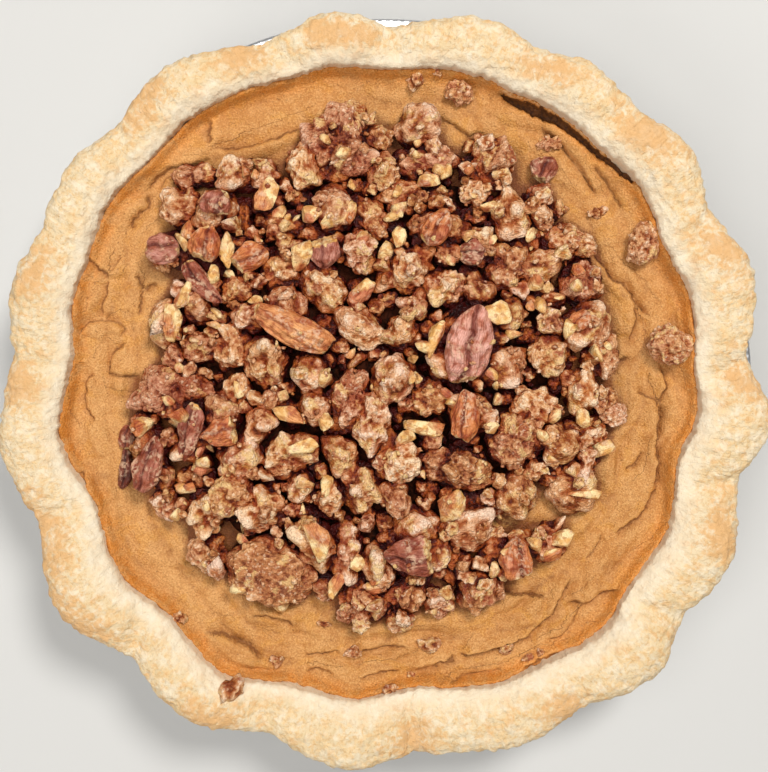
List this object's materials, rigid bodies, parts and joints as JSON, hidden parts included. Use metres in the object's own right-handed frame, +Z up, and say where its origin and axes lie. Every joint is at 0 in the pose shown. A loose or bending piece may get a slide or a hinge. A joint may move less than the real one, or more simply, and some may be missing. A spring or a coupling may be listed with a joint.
{
  "type": "sweet potato pie",
  "caption": "Whole round pie in a pleated foil tin: fluted pastry rim, smooth wrinkled filling and a loose heap of sugared pecan crumble on top.",
  "frame": {"origin": "middle of the flat underside of the tin's base", "axes": "+Z up through the pie, +Y towards the far side of the pie, +X to its right"},
  "size_m": [0.2519, 0.2475, 0.0505],
  "materials": {
    "foil": "bright pressed foil",
    "pastry": "dry baked pastry, pale with golden patches",
    "filling": "smooth baked filling, slightly moist",
    "crumble": "sugared nut clumps, rough with a soft gloss",
    "pecan": "candied nut skin, soft gloss"
  },
  "bodies": {
    "root": {"foil_tin": "foil", "pastry_crust": "pastry", "sweet_potato_filling": "filling", "pecan_crumble_heap": "crumble", "stray_pecan": "pecan", "stray_clump_far": "crumble", "stray_clump_right": "crumble", "stray_clump_low_right": "crumble", "stray_clump_top": "crumble"}
  },
  "joints": []
}
